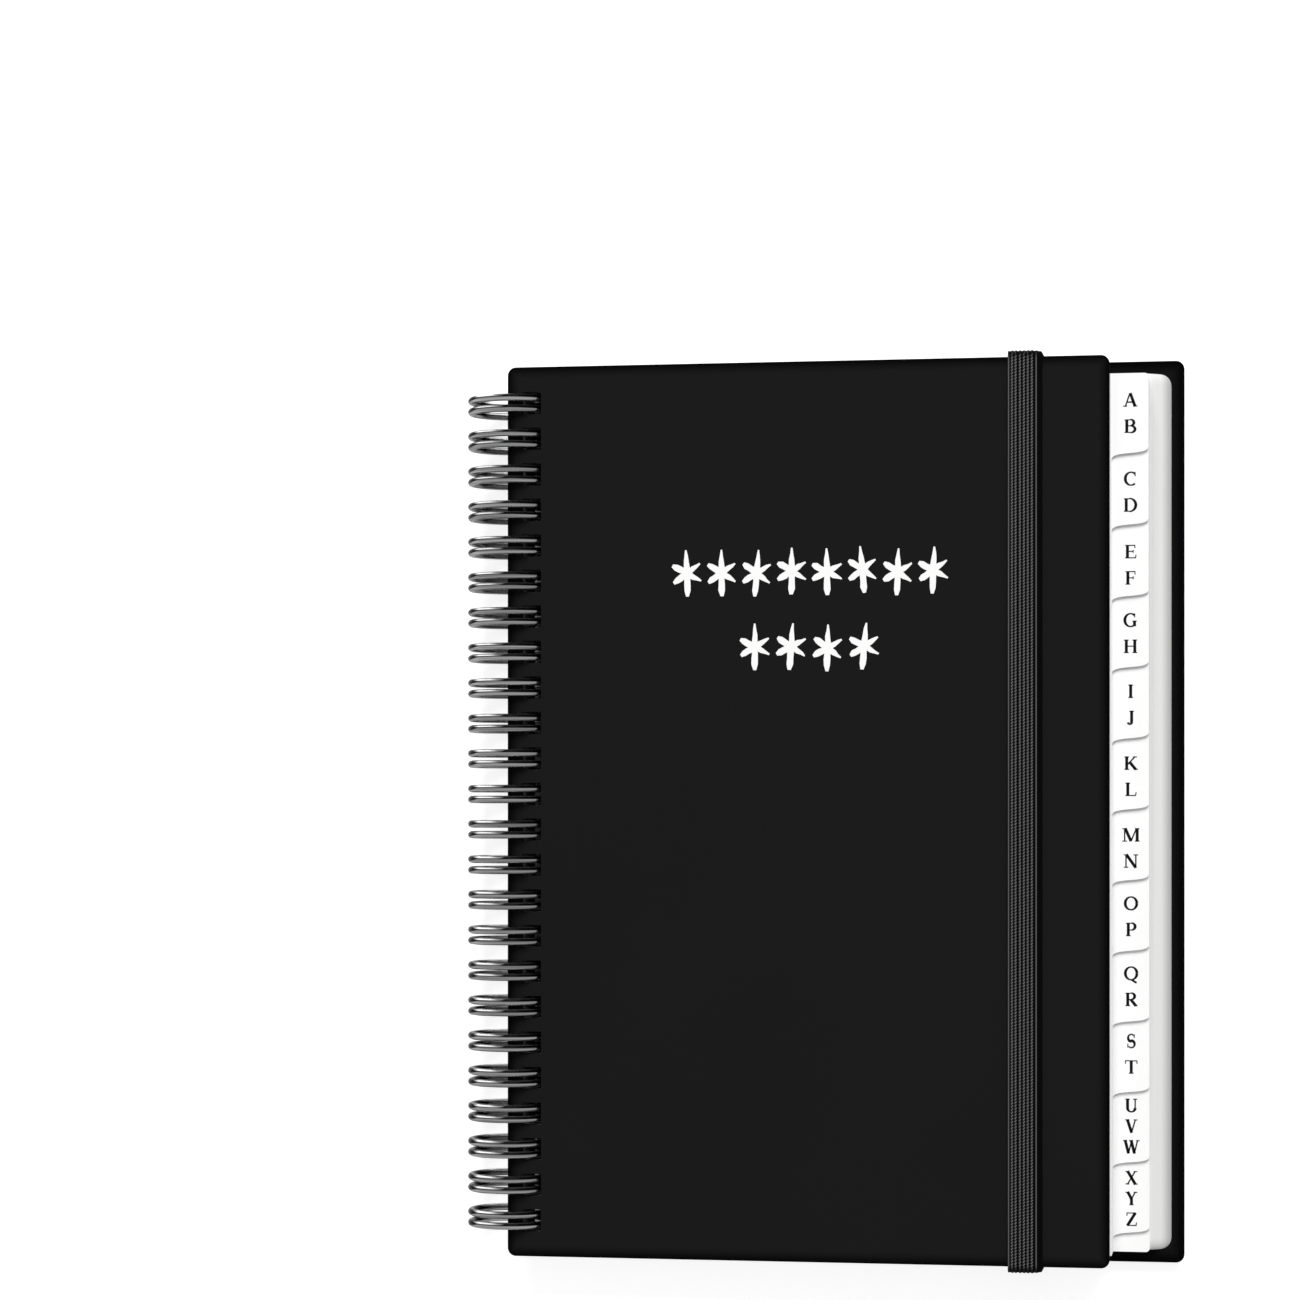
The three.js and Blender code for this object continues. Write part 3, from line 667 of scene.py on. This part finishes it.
GLYPHS = {
    "A": [bar(0, 1, 0.36, 0, THICK), bar(-0.02, 1, -0.36, 0, THIN), bar(-0.24, 0.33, 0.25, 0.33, THIN),
          flat(-0.37, FOOT, 0.15), flat(0.37, FOOT)],
    "B": stem(-0.25) + [bar(-0.25, TOP, 0.02, TOP, SERIF), bar(-0.25, 0.52, 0.05, 0.52, SERIF),
                        bar(-0.25, FOOT, 0.05, FOOT, SERIF), bow(0, 0.76, 0.27, 0.23, 90, -90),
                        bow(0.03, 0.27, 0.32, 0.25, 90, -90)],
    "C": [bow(0.05, 0.5, 0.42, 0.48, 48, 312), bar(0.35, 0.99, 0.35, 0.68, SERIF)],
    "D": stem(-0.3) + [bar(-0.3, TOP, -0.04, TOP, SERIF), bar(-0.3, FOOT, -0.04, FOOT, SERIF),
                       bow(-0.06, 0.5, 0.46, 0.48, 90, -90)],
    "E": stem(-0.22) + [bar(-0.22, TOP, 0.32, TOP, SERIF), bar(-0.22, 0.52, 0.2, 0.52, SERIF),
                        bar(-0.22, FOOT, 0.36, FOOT, SERIF), bar(0.31, 1, 0.33, 0.76, SERIF),
                        bar(0.2, 0.63, 0.2, 0.41, SERIF), bar(0.36, 0, 0.41, 0.26, SERIF)],
    "F": stem(-0.19) + [bar(-0.19, TOP, 0.33, TOP, SERIF), bar(-0.19, 0.5, 0.2, 0.5, SERIF),
                        bar(0.32, 1, 0.34, 0.74, SERIF), bar(0.2, 0.61, 0.2, 0.39, SERIF)],
    "G": [bow(0, 0.5, 0.42, 0.48, 48, 302), bar(0.3, 0.99, 0.3, 0.7, SERIF),
          bar(0.29, 0.04, 0.29, 0.42, THICK), flat(0.3, 0.42)],
    "H": stem(-0.31) + stem(0.31) + [bar(-0.31, 0.51, 0.31, 0.51, SERIF)],
    "I": stem(0),
    "J": stem(0.07, "top", low=0.18) + [bow(-0.06, 0.19, 0.13, 0.2, 0, -165)],
    "K": stem(-0.3) + [bar(-0.24, 0.4, 0.3, 0.97, THIN), bar(-0.08, 0.58, 0.37, 0.02, THICK),
                       flat(0.3, TOP, 0.15), flat(0.38, FOOT, 0.13)],
    "L": stem(-0.22) + [bar(-0.22, FOOT, 0.34, FOOT, SERIF), bar(0.33, 0, 0.4, 0.28, SERIF)],
    "M": stem(-0.46, width=THIN) + stem(0.46) + [
        bar(-0.42, 1, 0.01, 0.03, THICK), bar(0, 0.03, 0.42, 1, THIN)],
    "N": stem(-0.36, width=THIN) + stem(0.36, "top", THIN) + [bar(-0.34, 1, 0.36, 0, THICK)],
    "O": [bow(0, 0.5, 0.43, 0.48, 0, 360)],
    "P": stem(-0.2) + [bar(-0.2, TOP, 0.04, TOP, SERIF), bar(-0.2, 0.46, 0.04, 0.46, SERIF),
                       bow(0.03, 0.72, 0.27, 0.26, 90, -90)],
    "Q": [bow(0, 0.5, 0.43, 0.48, 0, 360), bar(0.02, 0.03, 0.4, -0.2, 0.7 * THICK)],
    "R": stem(-0.25) + [bar(-0.25, TOP, 0.02, TOP, SERIF), bar(-0.25, 0.5, 0.02, 0.5, SERIF),
                        bow(0, 0.74, 0.26, 0.24, 90, -90), bar(-0.03, 0.5, 0.36, 0.02, THICK),
                        flat(0.37, FOOT, 0.1)],
    "S": [curl(0.73, 0.23, 40, 270, 262), curl(0.26, 0.25, 90, -140, 82),
          bar(0.22, 0.99, 0.22, 0.72, SERIF), bar(-0.25, 0.3, -0.25, 0.01, SERIF)],
    "T": stem(0, "foot") + [bar(-0.42, TOP, 0.42, TOP, SERIF), bar(-0.41, 1, -0.43, 0.74, SERIF),
                            bar(0.41, 1, 0.43, 0.74, SERIF)],
    "U": stem(-0.28, "top", low=0.3) + stem(0.28, "top", THIN, low=0.3, reach=0.15) + [
        bow(0, 0.31, 0.28, 0.29, 180, 360)],
    "V": [bar(-0.3, 1, 0.02, 0, THICK), bar(0.01, 0, 0.3, 1, THIN), flat(-0.3, TOP),
          flat(0.31, TOP, 0.14)],
    "W": [bar(-0.46, 1, -0.21, 0, THICK), bar(-0.21, 0, 0, 0.9, THIN), bar(-0.02, 1, 0.23, 0, THICK),
          bar(0.22, 0, 0.46, 1, THIN), flat(-0.46, TOP, 0.15), flat(-0.02, TOP, 0.15), flat(0.48, TOP, 0.13)],
    "X": [bar(-0.29, 1, 0.3, 0, THICK), bar(-0.3, 0, 0.28, 1, THIN), flat(-0.29, TOP),
          flat(0.29, TOP, 0.14), flat(-0.3, FOOT, 0.14), flat(0.3, FOOT)],
    "Y": [bar(-0.28, 1, 0, 0.46, THICK), bar(0.29, 1, 0, 0.46, THIN), bar(0, 0, 0, 0.5, THICK),
          flat(-0.3, TOP, 0.15), flat(0.3, TOP, 0.14), flat(0, FOOT)],
    "Z": [bar(-0.32, TOP, 0.34, TOP, SERIF), bar(-0.35, FOOT, 0.34, FOOT, SERIF),
          bar(0.29, 0.98, -0.3, 0.02, THICK), bar(-0.32, 1, -0.34, 0.75, SERIF),
          bar(0.33, 0, 0.37, 0.27, SERIF)],
}


def print_letters(bm, letters, middle, z, face):
    """Prints a tab's letters about its middle. The face is 1 on top of the card, -1 below it."""
    pitch = LETTER_PITCH if len(letters) == 2 else CLOSE_PITCH
    printed = len(bm.faces)
    for number, letter in enumerate(letters.upper()):
        y = middle + ((len(letters) - 1) / 2 - number) * pitch - LETTER_HEIGHT / 2
        for stroke in GLYPHS[letter]:
            x = tab_edge - LETTER_MIDDLE
            places = [Vector((x + face * LETTER_HEIGHT * right, y + LETTER_HEIGHT * up, z))
                      for right, up, half in stroke]
            stations = []
            for index, place in enumerate(places):
                ahead = places[min(index + 1, len(places) - 1)]
                behind = places[max(index - 1, 0)]
                stations.append((place, (ahead - behind).normalized(), stroke[index][2] * LETTER_HEIGHT))
            lay_ribbon(bm, stations)
    thicken(bm, bm.faces[printed:], face * PRINT_THICKNESS)


print_black, field = start_finish("print_black")
place = field.node("ShaderNodeTexCoord", output="Object")
speck = field.node("ShaderNodeTexNoise", inputs={"Vector": place, "Scale": 5000.0, "Detail": 2.0})
set_finish(print_black, {
    "Base Color": field.blend(speck, (0.003, 0.003, 0.003, 1), (0.008, 0.008, 0.008, 1)),
    "Roughness": 0.6 + speck * 0.2,
    "Specular IOR Level": 0.05,
})
for letters, foot, drop in zip(SECTIONS, tab_feet, LETTER_DROP):
    low, high = box_mm(f"tab_divider_{letters}")
    middle = foot + tab_pitch / 2 - drop
    bm = bmesh.new()
    print_letters(bm, letters, middle, high.z + PRINT_LIFT, 1)
    print_letters(bm, letters, middle, low.z - PRINT_LIFT, -1)
    add_piece(f"letters_{letters}", mesh_from(bm, f"letters_{letters}"), print_black,
              f"section_{letters}", "tab_card")


# Sheets: two plain ones in front, then four behind each divider, cut from white paper and
# not quite in line at the fore-edge. Those behind the dividers have groups of dotted rules.
SHEETS_PER_BLOCK = 4
OPENING_SHEETS = 2
SHEET_AIR = 0.012
PRINT_SIDES = (13.1, 136.6)  # from the ring's centre line
RULE_ROWS = ((13.1, 14.6), (19.5, 18.5), (25.9, 26.2), (32.3, 12.1), (38.75, 11.1), (44.9, 0.5))
RULE_GAP = (60.5, 73.8)
RULE_GROUP = 50.8
RULE_GROUPS = 4
RULE_LENGTH = 122.9
RULE_HALF = 0.09
DOT_PITCH = 0.62
SHEET_SLIP = 0.15
SHEET_CORNER = 0.3


def rule_page(field, place, white):
    """Dotted rules that start at the outer side of a left page, the inner side of a right one."""
    x = field.node("ShaderNodeSeparateXYZ", inputs={0: place}, output="X")
    y = x.other("Y")
    up = field.node("ShaderNodeAttribute", {"attribute_name": "top_side"}, output="Fac")
    run = up * (x - (ring_x + PRINT_SIDES[0])) + (1 - up) * ((ring_x + PRINT_SIDES[1]) - x)
    down = x.calc("MODULO", head - y, RULE_GROUP)
    printed = 0
    for drop, start in RULE_ROWS:
        on_row = x.calc("COMPARE", down, drop, RULE_HALF)
        row = on_row * x.calc("GREATER_THAN", run, start)
        if drop == RULE_ROWS[3][0]:
            middle, half = sum(RULE_GAP) / 2, (RULE_GAP[1] - RULE_GAP[0]) / 2
            row = row * (1 - x.calc("COMPARE", run, middle, half))
        printed = row + printed
    dots = x.calc("LESS_THAN", x.calc("PINGPONG", x, DOT_PITCH / 2), DOT_PITCH / 4)
    printed = printed * dots * x.calc("LESS_THAN", run, RULE_LENGTH)
    printed = printed * x.calc("LESS_THAN", head - y, RULE_GROUPS * RULE_GROUP)
    return field.blend(printed, white, (0.2, 0.2, 0.2, 1))


ruled_paper = white_with_hole_shade("ruled_paper", (0.9, 0.9, 0.892), 7.0, rule_page)
stack = random.Random(11)


def sheet_outline(right, bottom, top, radius):
    """A sheet from the spine to its fore-edge, its outer corners rounded or nearly square."""
    lower = corner(right - radius, bottom + radius, radius, -90)
    upper = corner(right - radius, top - radius, radius, 0)
    return [(leaf_low.x, bottom), *lower, *upper, (leaf_low.x, top)]


def lay_block(name, node, count, paper, body):
    """A block of thin sheets that fills its node's height."""
    low, high = box_mm(node)
    pitch = (high.z - low.z + SHEET_AIR) / count
    bm = bmesh.new()
    for number in range(count):
        slip = stack.uniform(0, SHEET_SLIP)
        right = page_edge - stack.uniform(0, SHEET_SLIP)
        outline = sheet_outline(right, tail, head - slip, SHEET_CORNER)
        lay_sheet(bm, outline, low.z + number * pitch, pitch - SHEET_AIR)
    add_piece(name, mesh_from(bm, node), paper, body, "page_paper", node)


plain_paper = white_with_hole_shade("plain_paper", (0.92, 0.92, 0.912), 7.0)
lay_block("sheets_opening", "opening_sheets", OPENING_SHEETS, plain_paper, "section_ab")
for letters in SECTIONS:
    lay_block(f"sheets_{letters}", f"pages_{letters}", SHEETS_PER_BLOCK, ruled_paper, f"section_{letters}")


# Note sheets: a thicker block of wider sheets at the back, with round corners. Fanned by
# handling, their fore-edges show past the tabs as a slope of fine steps, greyed with painted shade.
NOTE_SHEETS = 30
NOTE_FAN = 4.9
NOTE_CORNER = 2.8


def edge_shade(field, place, white):
    """Paper greyed by painted shade along the fanned fore-edge, in fine uneven lines from sheet to sheet."""
    x = field.node("ShaderNodeSeparateXYZ", inputs={0: place}, output="X")
    line = field.node("ShaderNodeTexNoise", {"noise_dimensions": "1D"}, {"W": x * 1.9, "Detail": 2.0})
    fanned = x.step(notes_edge - NOTE_FAN - 0.6, notes_edge - NOTE_FAN + 0.8)
    outer = x.step(notes_edge - 2.8, notes_edge + 0.4)
    # Painted shade: grey along the fanned fore-edge, in fine lines, darkest at the outer edge.
    painted_shade_tone = fanned * (0.21 + (line - 0.5) * 0.7) + outer * 0.74
    return field.blend(painted_shade_tone, white, (0.36, 0.357, 0.345, 1))


note_paper = white_with_hole_shade("note_paper", (0.88, 0.88, 0.872), 7.0, edge_shade)
low, high = box_mm("notes_pages")
pitch = (high.z - low.z + SHEET_AIR) / NOTE_SHEETS
fan_step = NOTE_FAN / NOTE_SHEETS
bm = bmesh.new()
for number in range(NOTE_SHEETS):
    right = notes_edge - number * fan_step - stack.uniform(0, 0.1)
    slip = stack.uniform(0, 0.12)
    outline = sheet_outline(right, low.y + slip, high.y - slip, NOTE_CORNER)
    lay_sheet(bm, outline, low.z + number * pitch, pitch - SHEET_AIR, fan_step)
add_piece("note_sheets", mesh_from(bm, "notes_pages"), note_paper,
          "notes_section", "page_paper", "notes_pages")


# Elastic band: flat black braid with six beaded ribs between two plain cords, and a thin
# plain margin. It goes over the front cover, round head and tail, and behind the back cover.
BAND_RIBS = (1.0, 1.84, 2.84, 3.77, 4.67, 5.6)
BAND_CORDS = (0.22, 6.6)
RIB_HALF = 0.38
CORD_HALF = 0.22
CORD_RISE = 0.92
BAND_WIDTH = 8
BAND_TURN_IN = 18
BAND_BASE = 0.84
BAND_MARGIN = 0.8
BAND_CLEAR = 0.15
BAND_BEND = 1.7
BEAD_PITCH = 0.72
FOLD_STEPS = 8

band_low, band_high = box_mm("elastic_band")
band_thick = band_high.z - board_high.z - BAND_CLEAR
strand_end = band_high.y - BAND_TURN_IN


def band_section():
    """The upper side of the braid across its width, as distance from its left edge and height."""
    points = [(0, BAND_BASE * 0.5)]
    ridges = [(rib, RIB_HALF, 1) for rib in BAND_RIBS] + [(cord, CORD_HALF, CORD_RISE) for cord in BAND_CORDS]
    for middle, half, rise in sorted(ridges):
        for share in (-1, -0.7, -0.3, 0.3, 0.7, 1):
            height = BAND_BASE + (band_thick * rise - BAND_BASE) * math.sqrt(1 - share * share)
            points.append((middle + share * half, height))
    points.append((BAND_CORDS[1] + 0.34, BAND_MARGIN))
    points.append((BAND_WIDTH - 0.25, BAND_MARGIN * 0.85))
    points.append((BAND_WIDTH, BAND_MARGIN * 0.4))
    return points


bm = bmesh.new()
section = [(x, 0.0) for x in (0.06, BAND_WIDTH / 2, BAND_WIDTH - 0.06)][::-1] + band_section()
ring = [bm.verts.new((band_low.x + x, -strand_end, band_low.z + band_thick - height))
        for x, height in section]
rim = [bm.edges.new((ring[index - 1], vert)) for index, vert in enumerate(ring)]
bmesh.ops.edgeloop_fill(bm, edges=rim)


def run_band(rim, way):
    """Carries the braid's section straight on."""
    made = bmesh.ops.extrude_edge_only(bm, edges=rim)["geom"]
    bmesh.ops.translate(bm, vec=way, verts=[item for item in made if isinstance(item, bmesh.types.BMVert)])
    return [item for item in made if isinstance(item, bmesh.types.BMEdge)]


def fold_band(rim, y, z):
    """Turns the braid's section a quarter round a line across it."""
    made = bmesh.ops.spin(bm, geom=rim, cent=(0, y, z), axis=(1, 0, 0), dvec=(0, 0, 0),
                          angle=-math.pi / 2, steps=FOLD_STEPS, use_duplicate=False)["geom_last"]
    return [item for item in made if isinstance(item, bmesh.types.BMEdge)]


end_y = band_high.y - BAND_BEND
low_z = band_low.z + BAND_BEND
high_z = band_high.z - BAND_BEND
rim = run_band(rim, (0, strand_end - end_y, 0))
rim = fold_band(rim, -end_y, low_z)
rim = run_band(rim, (0, 0, high_z - low_z))
rim = fold_band(rim, -end_y, high_z)
rim = run_band(rim, (0, 2 * end_y, 0))
rim = fold_band(rim, end_y, high_z)
rim = run_band(rim, (0, 0, low_z - high_z))
rim = fold_band(rim, end_y, low_z)
rim = run_band(rim, (0, strand_end - end_y, 0))
bmesh.ops.edgeloop_fill(bm, edges=rim)

black_braid, field = start_finish("black_braid")
place = place_mm(field)
x = field.node("ShaderNodeSeparateXYZ", inputs={0: place}, output="X")
length = x.other("Y") + x.other("Z")
across = x - band_low.x
ribs, cords, turns = 0, 0, 0
for rib in BAND_RIBS:
    ribs = (1 - x.calc("ABSOLUTE", across - rib).step(0.08, 0.9 * RIB_HALF)) + ribs
    turns = x.calc("GREATER_THAN", across, rib) + turns
for cord in BAND_CORDS:
    cords = (1 - x.calc("ABSOLUTE", across - cord).step(0.06, CORD_HALF)) + cords
beads = x.calc("SINE", length * (2 * math.pi / BEAD_PITCH) + turns * 4.2) * 0.5 + 0.5
beads = beads * beads
fuzz = field.node("ShaderNodeTexNoise", inputs={"Vector": place, "Scale": 2.4, "Detail": 3.0})
# Painted shade: the braid darkens where it turns round the head and the tail.
fold_shade = x.calc("ABSOLUTE", x.other("Y")).step(band_high.y - 2.2, band_high.y - 0.8)
thread = (ribs * (beads * 0.93 + 0.07) * (fuzz * 0.9 + 0.45) + cords * 0.4) * (1 - fold_shade * 0.8)
set_finish(black_braid, {
    "Base Color": field.blend(thread, (0.0006, 0.0006, 0.0006, 1), (0.24, 0.24, 0.24, 1)),
    "Roughness": 0.9,
    "Specular IOR Level": 0.05,
    "Normal": field.node("ShaderNodeBump", inputs={
        "Strength": 0.6, "Distance": 0.00015, "Height": ribs * beads + fuzz * 0.3}),
})
band = add_piece("black_band", mesh_from(bm, "elastic_band", 50), black_braid,
                 "elastic_band", "elastic", "elastic_band")
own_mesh(band)


# Rivets: two black lacquered rivets that hold the band's ends behind the back cover. Each
# has a low dome outside, a shank through braid and board, and a foot sunk in the board.
def rivet_mesh(node):
    """A rivet turned about its own axis, as high as its node."""
    low, high = box_mm(node)
    middle = (low + high) / 2
    radius = (high.x - low.x) / 2
    shank, foot, foot_height, head_height = 1.1, 2.2, 0.35, 0.5
    head = [(0, low.z), (radius * 0.5, low.z + 0.03), (radius * 0.85, low.z + 0.14),
            (radius, low.z + 0.34), (radius, low.z + head_height)]
    stalk = [(shank, low.z + head_height), (shank, high.z - foot_height),
             (foot, high.z - foot_height), (foot, high.z), (0, high.z)]
    bm = bmesh.new()
    line = [bm.verts.new((middle.x + reach, middle.y, z)) for reach, z in head + stalk]
    edges = [bm.edges.new(pair) for pair in zip(line, line[1:])]
    bmesh.ops.spin(bm, geom=line + edges, cent=(middle.x, middle.y, 0), axis=(0, 0, 1), dvec=(0, 0, 0),
                   angle=2 * math.pi, steps=40, use_merge=True, use_duplicate=False)
    bmesh.ops.remove_doubles(bm, verts=bm.verts, dist=0.001)
    return mesh_from(bm, node)


black_lacquer, field = start_finish("black_lacquer")
place = field.node("ShaderNodeTexCoord", output="Object")
scuff = field.node("ShaderNodeTexNoise", inputs={"Vector": place, "Scale": 2200.0, "Detail": 4.0})
set_finish(black_lacquer, {
    "Base Color": field.blend(scuff.step(0.55, 0.75), (0.02, 0.02, 0.021, 1), (0.08, 0.08, 0.082, 1)),
    "Metallic": 0.8,
    "Roughness": 0.3 + scuff * 0.25,
})
for name in ("band_rivet_top", "band_rivet_bottom"):
    add_piece(name.replace("band_rivet", "rivet"), rivet_mesh(name), black_lacquer,
              "back_cover_and_wire", "rivet", name)
